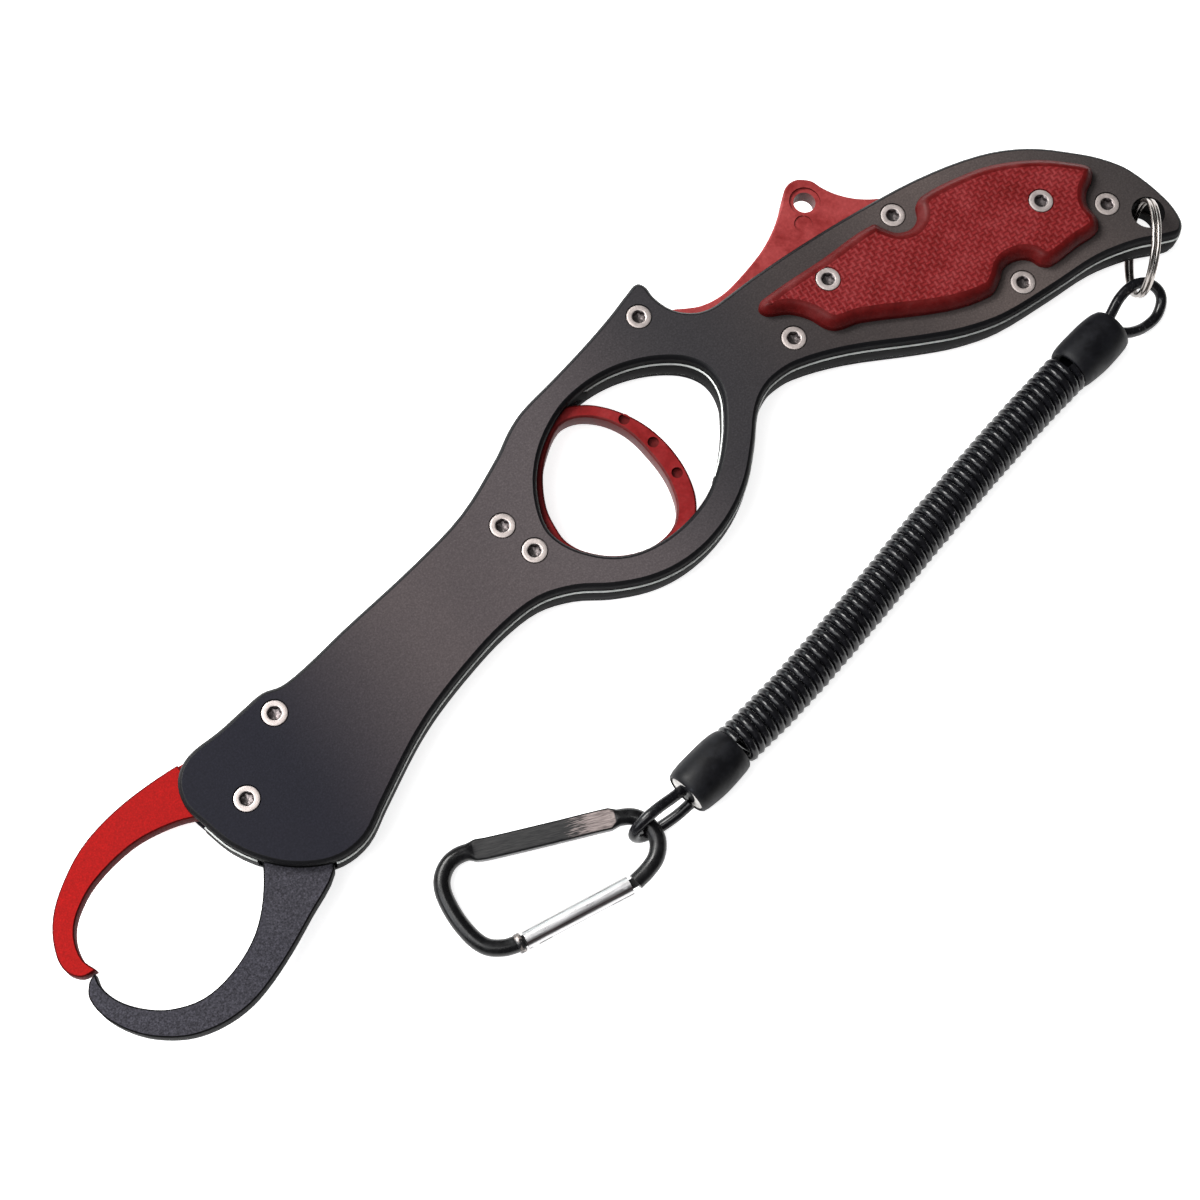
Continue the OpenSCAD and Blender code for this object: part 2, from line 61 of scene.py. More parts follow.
# The snap hook's wire, flat back and gate, in millimetres
HOOK_Z = 2.05
HOOK_WIRE = 1.75
HOOK_TIP = math.radians(-3.2)
HOOK_ROUTE = [(-147.1, -62), (-150.2, -60.9), (-152.9, -58.6), (-154.2, -54.6), (-154.3, -48.6),
              (-153, -43.6), (-149.9, -41), (-146.2, -40.8), (-141.6, -42.9), (-129, -48),
              (-117, -52.8), (-113.9, -54.7), (-112.5, -57.8), (-112.8, -61.1), (-115, -63.7),
              (-118, -64.9), (-121.35, -65.5)]
FLAT_FROM = Vector((-144.6, -42.1, 0))
FLAT_TO = Vector((-117.4, -52.8, 0))
GATE_A = Vector((-122.6, -65.3, HOOK_Z))
GATE_B = Vector((-145.8, -62.2, HOOK_Z))
GATE_U = (GATE_B - GATE_A).normalized()


# ---- camera

CAMERA_PLACE = (-0.2016777, -0.1200507, 0.467811)
CAMERA_RIGHT = (0.810959, -0.582384, 0.056335)
CAMERA_UP = (0.541107, 0.783126, 0.306457)
CAMERA_BACK = (-0.222594, -0.218041, 0.950216)
LENS = 71.03


def place_camera():
    data = bpy.data.cameras.new("camera")
    data.sensor_width = 36
    data.sensor_fit = "HORIZONTAL"
    data.lens = LENS
    data.clip_start = 0.01
    data.clip_end = 20
    cam = bpy.data.objects.new("camera", data)
    turn = Matrix((CAMERA_RIGHT, CAMERA_UP, CAMERA_BACK)).transposed().to_4x4()
    cam.matrix_world = Matrix.Translation(CAMERA_PLACE) @ turn
    bpy.context.scene.collection.objects.link(cam)
    bpy.context.scene.camera = cam


place_camera()
bpy.context.scene.view_settings.view_transform = "Standard"


# ---- mesh helpers

def new_piece(name, verts, faces, materials, smooth_angle=35, face_material=None):
    mesh = bpy.data.meshes.new(name)
    mesh.from_pydata([tuple(v) for v in verts], [], faces)
    for m in materials:
        mesh.materials.append(m)
    if face_material is not None:
        mesh.polygons.foreach_set("material_index", face_material)
    obj = bpy.data.objects.new(name, mesh)
    bpy.context.scene.collection.objects.link(obj)
    finish_shading(mesh, smooth_angle)
    return obj


def finish_shading(mesh, angle=35):
    """Smooth shading, but level faces stay flat so that their rims can't tint them."""
    mesh.set_sharp_from_angle(angle=math.radians(angle))
    mesh.polygons.foreach_set("use_smooth", [abs(p.normal.z) < 0.9995 for p in mesh.polygons])
    mesh.update()


def outward(obj, angle=40):
    """Turns every face outwards."""
    bm = bmesh.new()
    bm.from_mesh(obj.data)
    bmesh.ops.recalc_face_normals(bm, faces=bm.faces)
    bm.to_mesh(obj.data)
    bm.free()
    finish_shading(obj.data, angle)
    return obj


def wall_faces(rows, sides, closed=False):
    """Quads between neighbouring rows, where a row is one turn of points round the piece."""
    out = []
    for j in range(rows if closed else rows - 1):
        j2 = (j + 1) % rows
        for k in range(sides):
            k2 = (k + 1) % sides
            out.append((j * sides + k, j * sides + k2, j2 * sides + k2, j2 * sides + k))
    return out


def end_faces(rows, sides):
    """The two faces that close the first and the last row."""
    return [tuple(range(sides - 1, -1, -1)), tuple((rows - 1) * sides + k for k in range(sides))]


def ride_as(piece, body, node):
    """The piece moves with the body and stands for the CAD node, which is hidden."""
    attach(piece, body)
    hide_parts(node)


def smooth_route(points, steps):
    """Points of the route that passes through the given ones, as the part's cords do."""
    P = [Vector(p) for p in points]
    out = []
    last = len(P) - 1
    for i in range(last):
        a, b = P[i], P[i + 1]
        d = (b - a).length
        u = (b - P[max(i - 1, 0)]).normalized() * d
        w = (P[min(i + 2, last)] - a).normalized() * d
        for k in range(steps):
            t = k / steps
            out.append((2 * t**3 - 3 * t**2 + 1) * a + (t**3 - 2 * t**2 + t) * u
                       + (3 * t**2 - 2 * t**3) * b + (t**3 - t**2) * w)
    out.append(P[last])
    return out


def carried_frames(points, start_side):
    """A side and a top direction at each point, carried along without twist."""
    n = len(points)
    tangents = [(points[min(i + 1, n - 1)] - points[max(i - 1, 0)]).normalized() for i in range(n)]
    side = (start_side - start_side.dot(tangents[0]) * tangents[0]).normalized()
    frames = []
    for t in tangents:
        side = (side - side.dot(t) * t).normalized()
        frames.append((side, t.cross(side)))
    return frames


def tube_mesh(name, points, radius, sides, materials, start_side=(0, 1, 0.01)):
    """A closed round tube along the points."""
    verts = []
    for p, (s, q) in zip(points, carried_frames(points, Vector(start_side))):
        for k in range(sides):
            a = 2 * math.pi * k / sides
            verts.append(p + radius * (math.cos(a) * s + math.sin(a) * q))
    n = len(points)
    return new_piece(name, verts, wall_faces(n, sides) + end_faces(n, sides), materials, 50)


# ---- materials

def material(name, base, metallic=0.0, roughness=0.5, specular=0.5):
    mat = bpy.data.materials.new(name)
    mat.use_nodes = True
    bsdf = mat.node_tree.nodes["Principled BSDF"]
    bsdf.inputs["Base Color"].default_value = (*base, 1)
    bsdf.inputs["Metallic"].default_value = metallic
    bsdf.inputs["Roughness"].default_value = roughness
    bsdf.inputs["Specular IOR Level"].default_value = specular
    mat.diffuse_color = (*base, 1)
    return mat


def scaled(colour, factor):
    return tuple(min(1, c * factor) for c in colour)


class Maker:
    """Short calls for building a material's nodes on Object coordinates."""

    def __init__(self, mat):
        self.tree = mat.node_tree
        self.nodes = self.tree.nodes
        self.bsdf = self.nodes["Principled BSDF"]
        self.coords = self.nodes.new("ShaderNodeTexCoord").outputs["Object"]

    def link(self, a, b):
        self.tree.links.new(a, b)

    def mapped(self, scale=(1, 1, 1), rotation=(0, 0, 0), location=(0, 0, 0), vector=None):
        node = self.nodes.new("ShaderNodeMapping")
        node.inputs["Scale"].default_value = scale
        node.inputs["Rotation"].default_value = rotation
        node.inputs["Location"].default_value = location
        self.link(vector or self.coords, node.inputs["Vector"])
        return node.outputs["Vector"]

    def lengthwise(self, a, b):
        """Coordinates from the middle of the line a-b: X along it and Y across it."""
        middle = (a + b) / 2 * MM
        spun = self.nodes.new("ShaderNodeVectorRotate")
        spun.rotation_type = "Z_AXIS"
        spun.inputs["Angle"].default_value = -math.atan2(b.y - a.y, b.x - a.x)
        self.link(self.mapped(location=(-middle.x, -middle.y, 0)), spun.inputs["Vector"])
        return spun.outputs[0]

    def parts(self, vector):
        """The X, Y and Z of a vector."""
        node = self.nodes.new("ShaderNodeSeparateXYZ")
        self.link(vector, node.inputs[0])
        return node.outputs

    def noise(self, scale, detail=3, roughness=0.55, vector=None, distortion=0):
        node = self.nodes.new("ShaderNodeTexNoise")
        node.inputs["Scale"].default_value = scale
        node.inputs["Detail"].default_value = detail
        node.inputs["Roughness"].default_value = roughness
        node.inputs["Distortion"].default_value = distortion
        self.link(vector or self.coords, node.inputs["Vector"])
        return node.outputs["Fac"]

    def wave(self, vector, scale, direction):
        node = self.nodes.new("ShaderNodeTexWave")
        node.wave_type = "BANDS"
        node.bands_direction = direction
        node.inputs["Scale"].default_value = scale
        node.inputs["Distortion"].default_value = 0.6
        node.inputs["Detail"].default_value = 1
        self.link(vector, node.inputs["Vector"])
        return node.outputs["Fac"]

    def ramp(self, factor, stops, ease="LINEAR"):
        node = self.nodes.new("ShaderNodeValToRGB")
        node.color_ramp.interpolation = ease
        els = node.color_ramp.elements
        while len(els) < len(stops):
            els.new(0.5)
        for el, (at, colour) in zip(els, stops):
            el.position = at
            el.color = (*colour, 1)
        self.link(factor, node.inputs["Fac"])
        return node.outputs["Color"]

    def spread(self, factor, low, high, from_low=0.3, from_high=0.7):
        node = self.nodes.new("ShaderNodeMapRange")
        node.inputs["From Min"].default_value = from_low
        node.inputs["From Max"].default_value = from_high
        node.inputs["To Min"].default_value = low
        node.inputs["To Max"].default_value = high
        self.link(factor, node.inputs["Value"])
        return node.outputs["Result"]

    def maths(self, kind, a, b=None, value=0.5):
        node = self.nodes.new("ShaderNodeMath")
        node.operation = kind
        self.link(a, node.inputs[0])
        if b is not None:
            self.link(b, node.inputs[1])
        else:
            node.inputs[1].default_value = value
        return node.outputs[0]

    def mix(self, factor, a, b, blend="MIX"):
        node = self.nodes.new("ShaderNodeMix")
        node.data_type = "RGBA"
        node.blend_type = blend
        for socket, value in ((node.inputs["Factor"], factor), (node.inputs[6], a), (node.inputs[7], b)):
            if isinstance(value, (int, float)):
                socket.default_value = value
            elif isinstance(value, tuple):
                socket.default_value = (*value, 1)
            else:
                self.link(value, socket)
        return node.outputs[2]

    def mix_value(self, factor, a, b):
        node = self.nodes.new("ShaderNodeMix")
        node.data_type = "FLOAT"
        for socket, value in ((node.inputs[0], factor), (node.inputs[2], a), (node.inputs[3], b)):
            self.link(value, socket)
        return node.outputs[0]

    def size_of(self, value):
        return self.maths("ABSOLUTE", value, value=0)

    def bump(self, height, strength, distance, under=None):
        node = self.nodes.new("ShaderNodeBump")
        node.inputs["Strength"].default_value = strength
        node.inputs["Distance"].default_value = distance
        self.link(height, node.inputs["Height"])
        if under is not None:
            self.link(under, node.inputs["Normal"])
        return node.outputs["Normal"]

    def set(self, socket, value):
        self.link(value, self.bsdf.inputs[socket])


JAW_END_X, TAIL_END_X = -0.225, 0.06


def blasted_metal(name, stops, roughness, grain=2600, sparkle=0.25, metallic=0.55):
    """Bead-blasted and anodised aluminium: colour by place along X, which on the plates is painted reflection
    and shade, a fine grain in the bumps, and the grain's sparkle, painted into the colour as lighter and
    darker specks.
    """
    mat = material(name, stops[0][1], metallic=metallic, roughness=roughness, specular=0.12)
    k = Maker(mat)
    place = k.spread(k.parts(k.coords)["X"], 0, 1, JAW_END_X, TAIL_END_X)
    # colour along X: on the plates, painted reflection and shade that change along their length
    colour = k.ramp(place, stops, "EASE")
    grains = k.noise(grain, 2, 0.6)
    cloud = k.noise(28, 4, 0.6)
    # The grain's sparkle is painted into the colour: lighter and darker specks that stand for glints.
    shade = k.ramp(grains, [(0.25, (1 - sparkle,) * 3), (0.55, (1, 1, 1)),
                            (0.8, (1 + 1.4 * sparkle,) * 3)])
    colour = k.mix(1.0, colour, shade, "MULTIPLY")
    drift = k.ramp(cloud, [(0.3, (0.9, 0.9, 0.92)), (0.7, (1.08, 1.06, 1.05))])
    k.set("Base Color", k.mix(1.0, colour, drift, "MULTIPLY"))
    k.set("Roughness", k.spread(cloud, roughness - 0.05, roughness + 0.07))
    k.set("Normal", k.bump(grains, 0.35, 0.00006))
    return mat


def dull_wall(name, base):
    """Matte machined wall with faint cutter lines round it."""
    mat = material(name, base, roughness=0.6, specular=0.05)
    k = Maker(mat)
    lines = k.noise(700, 3, 0.5, k.mapped(scale=(0.15, 0.15, 6)))
    k.set("Base Color", k.ramp(lines, [(0.35, scaled(base, 0.7)), (0.7, scaled(base, 1.5))]))
    k.set("Roughness", k.spread(lines, 0.55, 0.72))
    k.set("Normal", k.bump(lines, 0.15, 0.00005))
    return mat


def moulded_plastic(name, base, dark, roughness, weave=False):
    """Cloudy moulded plastic with a pebbled or woven face."""
    mat = material(name, base, roughness=roughness, specular=0.16)
    k = Maker(mat)
    cloud = k.noise(160, 5, 0.62, distortion=0.3)
    fine = k.noise(1500, 3, 0.6)
    colour = k.ramp(cloud, [(0.3, dark), (0.5, base), (0.72, tuple(min(1, c * 1.18 + 0.008) for c in base))])
    speck = k.ramp(fine, [(0.3, (0.86, 0.84, 0.84)), (0.55, (1, 1, 1)), (0.75, (1.15, 1.2, 1.2))])
    specked = k.mix(1.0, colour, speck, "MULTIPLY")
    k.set("Base Color", specked)
    k.set("Roughness", k.spread(cloud, roughness - 0.06, roughness + 0.1))
    if weave:
        turned = k.mapped(rotation=(0, 0, math.radians(4)))
        rows = k.wave(turned, 270, "X")
        columns = k.wave(turned, 330, "Y")
        check = k.nodes.new("ShaderNodeTexChecker")
        check.inputs["Scale"].default_value = 870
        k.link(turned, check.inputs["Vector"])
        basket = k.mix_value(check.outputs["Fac"], rows, columns)
        woven = k.bump(basket, 0.6, 0.00022)
        k.set("Normal", k.bump(fine, 0.4, 0.0001, woven))
        shaded = k.ramp(basket, [(0.1, (0.86, 0.82, 0.82)), (0.55, (1, 1, 1)), (0.9, (1.1, 1.25, 1.25))])
        k.set("Base Color", k.mix(1.0, specked, shaded, "MULTIPLY"))
    else:
        k.set("Normal", k.bump(fine, 0.3, 0.00008))
    return mat


def turned_metal(name, base, roughness, scratch=900, stretch=(1, 1, 1), metallic=1.0, bump=0.15):
    """Bare or plated metal with fine brushed lines and a few duller patches."""
    mat = material(name, base, metallic=metallic, roughness=roughness)
    k = Maker(mat)
    lines = k.noise(scratch, 4, 0.6, k.mapped(scale=stretch))
    patches = k.noise(350, 3, 0.6)
    k.set("Base Color", k.ramp(lines, [(0.3, scaled(base, 0.82)), (0.7, scaled(base, 1.08))]))
    k.set("Roughness", k.spread(patches, max(0.05, roughness - 0.08), roughness + 0.12))
    k.set("Normal", k.bump(lines, bump, 0.00005))
    return mat


TUBE_SHADE_REACH = 0.0021


def rolled_tube(name, base, roughness):
    """Bright tube rolled from sheet, with fine drawn lines. Its colour across the tube is painted shade and
    highlight: darker towards both sides, brightest a little past the middle, and a dark band along the outer
    side.
    """
    mat = material(name, base, metallic=1.0, roughness=roughness)
    k = Maker(mat)
    local = k.lengthwise(GATE_B, GATE_A)
    lines = k.noise(1400, 4, 0.6, k.mapped(scale=(0.06, 1, 1), vector=local))
    across = k.spread(k.parts(local)["Y"], 0, 1, -TUBE_SHADE_REACH, TUBE_SHADE_REACH)
    # Painted shade and highlight across the tube, including the dark band along the outer side.
    painted_shade_across = k.ramp(across, [(0.0, (0.55,) * 3), (0.14, (0.75,) * 3), (0.18, (0.3,) * 3),
                           (0.28, (0.22, 0.16, 0.17)), (0.34, (0.8,) * 3), (0.62, (1.0,) * 3),
                           (0.8, (0.8,) * 3), (1.0, (0.42,) * 3)])
    shade = k.ramp(lines, [(0.3, scaled(base, 0.85)), (0.7, base)])
    k.set("Base Color", k.mix(1.0, shade, painted_shade_across, "MULTIPLY"))
    k.set("Roughness", k.spread(lines, roughness - 0.06, roughness + 0.1))
    k.set("Normal", k.bump(lines, 0.04, 0.00003))
    return mat


# The plates' colour stops along X are painted reflection and shade: blue-black at the head, lighter and
# browner in the middle and towards the tail, with a darker stretch between.
plate_metal = blasted_metal("black_anodised_plate", [
    (0.0, (0.0085, 0.0095, 0.0155)), (0.2, (0.0125, 0.0125, 0.0185)), (0.36, (0.072, 0.060, 0.062)),
    (0.48, (0.076, 0.065, 0.068)), (0.62, (0.033, 0.031, 0.034)), (0.74, (0.050, 0.042, 0.041)),
    (0.86, (0.088, 0.071, 0.067)), (1.0, (0.042, 0.037, 0.037))], 0.6, metallic=0.3)
# The plate walls are much darker than the plate faces: painted shade, as the walls face away from the light.
# The black jaw's walls use it too.
plate_shaded_wall = dull_wall("black_plate_wall", (0.0022, 0.0022, 0.0025))
CHAMFER_BLACK = (0.006, 0.006, 0.007)
plate_chamfer = blasted_metal("black_plate_chamfer", [(0.0, CHAMFER_BLACK), (1.0, CHAMFER_BLACK)], 0.4,
                              sparkle=0.12, metallic=0.0)
core_metal = dull_wall("black_core_wall", (0.002, 0.002, 0.0023))
bright_edge = turned_metal("bright_core_edge", (0.66, 0.68, 0.66), 0.5, metallic=0.35)
jaw_black_metal = blasted_metal("black_jaw", [
    (0.0, (0.036, 0.035, 0.044)), (1.0, (0.056, 0.054, 0.064))], 0.5, grain=3000, sparkle=0.75, metallic=0.4)
jaw_red_metal = blasted_metal("red_jaw", [(0.0, (0.295, 0.004, 0.0035)), (1.0, (0.275, 0.004, 0.0035))], 0.6,
                              grain=3000, sparkle=0.28, metallic=0.3)
# The red jaw's walls are a much darker copy of its red: painted shade.
jaw_red_shaded_wall = dull_wall("red_jaw_wall", (0.075, 0.0025, 0.0025))
grip_plastic = moulded_plastic("red_grip_plastic", (0.185, 0.008, 0.009), (0.125, 0.005, 0.005), 0.45)
# The spine's red plastic is paler and pinker than the trigger's, with lighter cloudy patches: painted glare.
spine_plastic_glare = moulded_plastic("red_spine_plastic", (0.25, 0.034, 0.034), (0.16, 0.014, 0.014), 0.36)
grip_woven = moulded_plastic("red_grip_woven", (0.165, 0.011, 0.012), (0.13, 0.008, 0.008), 0.5, weave=True)
# The walls of the red mouldings, and the floors of the trigger's dimples, are a darker copy of their red:
# painted shade.
grip_shaded_wall = moulded_plastic("red_grip_wall", (0.085, 0.003, 0.003), (0.055, 0.002, 0.002), 0.45)
screw_steel = turned_metal("screw_steel", (0.55, 0.485, 0.465), 0.48, scratch=2500, metallic=0.75)
# The socket steel is far darker than the head's: painted shade in the six-lobe socket.
socket_steel = turned_metal("socket_steel", (0.16, 0.14, 0.14), 0.38, scratch=2500)
inner_steel = turned_metal("linkage_steel", (0.45, 0.46, 0.48), 0.4, stretch=(1, 12, 12))
ring_steel = turned_metal("ring_steel", (0.36, 0.33, 0.31), 0.2, scratch=1800, bump=0.05)
bronze = turned_metal("bronze_bush", (0.55, 0.38, 0.17), 0.35)
gate_metal = rolled_tube("gate_tube", (0.86, 0.85, 0.86), 0.3)


def glossy_cord():
    mat = material("glossy_black_cord", (0.010, 0.010, 0.012), roughness=0.18, specular=0.3)
    k = Maker(mat)
    dust = k.noise(900, 4, 0.7)
    k.set("Base Color", k.ramp(dust, [(0.45, (0.0035, 0.0035, 0.0045)), (0.66, (0.007, 0.007, 0.009)),
                                      (0.76, (0.16, 0.15, 0.165))]))
    k.set("Roughness", k.spread(dust, 0.12, 0.34))
    k.set("Normal", k.bump(dust, 0.2, 0.00008))
    return mat


def worn_hook(name):
    """Black hook paint worn through to bright metal in patches."""
    mat = material(name, (0.012, 0.012, 0.013), roughness=0.3)
    k = Maker(mat)
    wear = k.noise(650, 4, 0.7)
    mask = k.ramp(wear, [(0.5, (0, 0, 0)), (0.6, (1, 1, 1))])
    k.set("Base Color", k.mix(mask, (0.008, 0.008, 0.009), (0.42, 0.37, 0.35)))
    k.set("Metallic", k.spread(wear, 0.0, 1.0, 0.5, 0.6))
    k.set("Roughness", k.spread(wear, 0.25, 0.38))
    k.set("Normal", k.bump(wear, 0.2, 0.00008))
    return mat


def cap_rubber():
    mat = material("matte_black_cap", (0.018, 0.018, 0.021), roughness=0.5, specular=0.15)
    k = Maker(mat)
    scuff = k.noise(260, 5, 0.7, distortion=0.4)
    k.set("Base Color", k.ramp(scuff, [(0.4, (0.0035, 0.0035, 0.0045)), (0.66, (0.0075, 0.0078, 0.010)),
                                       (0.8, (0.06, 0.066, 0.078))]))
    k.set("Roughness", k.spread(scuff, 0.36, 0.62))
    k.set("Normal", k.bump(scuff, 0.25, 0.0002))
    return mat


def hook_paint():
    """Gloss black paint on the wire. Its flat back is scuffed, and brushed bare towards the loop's end."""
    mat = material("gloss_black_hook", (0.012, 0.012, 0.013), roughness=0.24, specular=0.3)
    k = Maker(mat)
    scuff = k.noise(420, 5, 0.7, distortion=0.2)
    paint = k.ramp(scuff, [(0.5, (0.0035, 0.0035, 0.004)), (0.7, (0.008, 0.008, 0.009)),
                           (0.8, (0.16, 0.15, 0.14))])
    local = k.lengthwise(FLAT_FROM, FLAT_TO)
    along, across = k.parts(local)[0], k.parts(local)[1]
    grain = k.noise(1500, 5, 0.5, k.mapped(scale=(0.3, 3.6, 1), vector=local))
    # only the level faces of the flat back are scuffed, not the round wire
    up = k.parts(k.nodes.new("ShaderNodeNewGeometry").outputs["True Normal"])[2]
    on_top = k.spread(k.size_of(up), 0, 1, 0.93, 0.985)
    on_back = k.spread(k.size_of(across), 1, 0, 0.0022, 0.0025)
    on_flat = k.spread(k.size_of(along), 1, 0, 0.0143, 0.0146)
    place = k.maths("MULTIPLY", k.maths("MULTIPLY", on_top, on_back), on_flat)
    ragged = k.maths("MULTIPLY", k.maths("SUBTRACT", grain, value=0.6), value=1.7)
    bare = k.maths("ADD", k.spread(along, -0.2, 1.15, 0.0, 0.0125), ragged)
    bare = k.maths("MULTIPLY", k.spread(bare, 0, 1, 0.25, 0.6), place)
    flat_paint = k.ramp(grain, [(0.35, (0.010, 0.010, 0.011)), (0.7, (0.030, 0.029, 0.029))])
    metal = k.ramp(grain, [(0.3, (0.09, 0.07, 0.068)), (0.62, (0.30, 0.25, 0.24))])
    k.set("Base Color", k.mix(bare, k.mix(place, paint, flat_paint), metal))
    k.set("Metallic", k.maths("MULTIPLY", bare, value=0.35))
    k.set("Roughness", k.mix_value(place, k.spread(scuff, 0.18, 0.42), k.spread(grain, 0.4, 0.55)))
    k.set("Normal", k.bump(grain, 0.2, 0.00005, k.bump(scuff, 0.15, 0.0001)))
    return mat


cord_black = glossy_cord()
cap_black = cap_rubber()
hook_black = hook_paint()
hook_worn = worn_hook("worn_hook_nose")
plug_grey = moulded_plastic("pale_plug", (0.62, 0.60, 0.58), (0.42, 0.40, 0.38), 0.5)


# ---- coiled lanyard

COIL_Z = 5.3
CAP_Z = 5.7
COIL_LOW = Vector((-89.5, -54.85, CAP_Z))
COIL_HIGH = Vector((19.5, -29.25, CAP_Z))
COIL_ROUTE = [COIL_HIGH, Vector((0, -33.3, COIL_Z)), Vector((-27, -40, COIL_Z)),
              Vector((-54, -47.3, COIL_Z)), Vector((-74, -52.1, COIL_Z)), COIL_LOW]
COIL_CORD = 1.86
COIL_RADIUS = 4.02
COIL_PITCH = 1.95
COIL_INSET = 0.4  # from each cap's face to where the helix starts or ends
TURN_STEPS = 16
UPPER_LOOP = [(34.2, -28, 5), (37.6, -29.6, 3.8), (41.6, -30.1, 2.6), (45.8, -29.4, 2.6),
              (48.6, -26.6, 4), (47.2, -23.3, 6), (43.6, -21.9, 6.9), (39.6, -22.4, 6.3),
              (36.3, -23.9, 5.6), (33.8, -25.2, 5.2)]
LOWER_LOOP = [(-103.3, -56.1, 6.2), (-106.2, -56.3, 7.2), (-110, -56.5, 8.1), (-113.9, -56.9, 7.5),
              (-116.3, -57.6, 4.7), (-114.7, -58.5, 1.7), (-110.8, -58.9, 1.4), (-106.6, -59.1, 2.6),
              (-103.1, -58.9, 4.1)]
LOOP_CORD = 2.4


def metres(points):
    return [Vector(p) * MM for p in points]


def coil_points():
    """The helix round the coil's middle line, from its upper end to its lower one."""
    middle = smooth_route(COIL_ROUTE, 24)
    run = [0.0]
    for a, b in zip(middle, middle[1:]):
        run.append(run[-1] + (b - a).length)
    frames = carried_frames(middle, Vector((0, 0, 1)))
    wound = run[-1] - 2 * COIL_INSET
    steps = round(wound / COIL_PITCH) * TURN_STEPS
    out = []
    j = 0
    for i in range(steps + 1):
        at = COIL_INSET + wound * i / steps
        while j < len(run) - 2 and run[j + 1] < at:
            j += 1
        f = (at - run[j]) / (run[j + 1] - run[j])
        c = middle[j].lerp(middle[j + 1], f)
        s = frames[j][0].lerp(frames[j + 1][0], f).normalized()
        q = frames[j][1].lerp(frames[j + 1][1], f).normalized()
        a = -2 * math.pi * i / TURN_STEPS
        # no two turns of a real coil are quite the same size
        wander = 1 + 0.006 * math.sin(i * 0.071) + 0.004 * math.sin(i * 0.23)
        out.append((c + COIL_RADIUS * wander * (math.cos(a) * s + math.sin(a) * q)) * MM)
    return out


def make_cords():
    helix = coil_points()
    coil = tube_mesh("coiled_cord", helix, COIL_CORD / 2 * MM, 9, [cord_black], (0, 0, 1))
    ride_as(coil, "lanyard", "coil")
    upper = smooth_route(metres(UPPER_LOOP), 6)
    upper_piece = tube_mesh("upper_cord_loop", upper, LOOP_CORD / 2 * MM, 14, [cord_black])
    ride_as(upper_piece, "lanyard", "upper_loop")
    lower = smooth_route(metres(LOWER_LOOP), 6)
    lower_piece = tube_mesh("lower_cord_loop", lower, LOOP_CORD / 2 * MM, 14, [cord_black], (0, 0, 1))
    ride_as(lower_piece, "lanyard", "lower_loop")
    return (coil, helix), (upper_piece, upper), (lower_piece, lower)


cords = make_cords()


# ---- slabs with finished rims

# Material slots of a slab
FACE, WALL, CHAMFER = 0, 1, 2


def merged_copy(node):
    bm = bmesh.new()
    bm.from_mesh(NODES[node].data)
    bmesh.ops.remove_doubles(bm, verts=bm.verts, dist=JOINED)
    return bm


def rim_loops(bm, level, up):
    """Boundary loops of the flat face at that level, each a list of vertices in order."""
    flat = [f for f in bm.faces if abs(f.normal.z - up) < 0.01
            and all(abs(v.co.z - level) < JOINED for v in f.verts)]
    inside = set(flat)
    edges = [e for f in flat for e in f.edges if sum(g in inside for g in e.link_faces) == 1]
    beside = {}
    for e in edges:
        for v in e.verts:
            beside.setdefault(v, []).append(e.other_vert(v))
    loops, seen = [], set()
    for start in beside:
        if start in seen:
            continue
        loop, prev, v = [], None, start
        while v not in seen:
            seen.add(v)
            loop.append(v)
            nxt = [w for w in beside[v] if w is not prev and w not in seen]
            if not nxt:
                break
            prev, v = v, nxt[0]
        loops.append(loop)
    return flat, loops


def polygon_area(points):
    return 0.5 * sum(a[0] * b[1] - b[0] * a[1] for a, b in zip(points, points[1:] + points[:1]))


def inset_directions(points, solid_left):
    """For each corner of a closed line, the step that moves it one unit into the material."""
    n = len(points)
    out = []
    for i in range(n):
        a = (points[i] - points[i - 1]).normalized()
        b = (points[(i + 1) % n] - points[i]).normalized()
        na, nb = Vector((-a.y, a.x)), Vector((-b.y, b.x))
        m = na + nb
        m = m / max(m.length_squared, 0.4) * 2
        out.append(m if solid_left else -m)
    return out


def inside_count(points, loops):
    """How many of the loops each point lies within."""
    total = np.zeros(len(points), int)
    for loop in loops:
        a = np.array([(p[0], p[1]) for p in loop])
        b = np.roll(a, -1, axis=0)
        x, y = points[:, 0][:, None], points[:, 1][:, None]
        cross = (a[:, 1] > y) != (b[:, 1] > y)
        with np.errstate(divide="ignore", invalid="ignore"):
            at = a[:, 0] + (y - a[:, 1]) * (b[:, 0] - a[:, 0]) / (b[:, 1] - a[:, 1])
        total += (np.sum(cross & (x < at), axis=1) % 2)
    return total


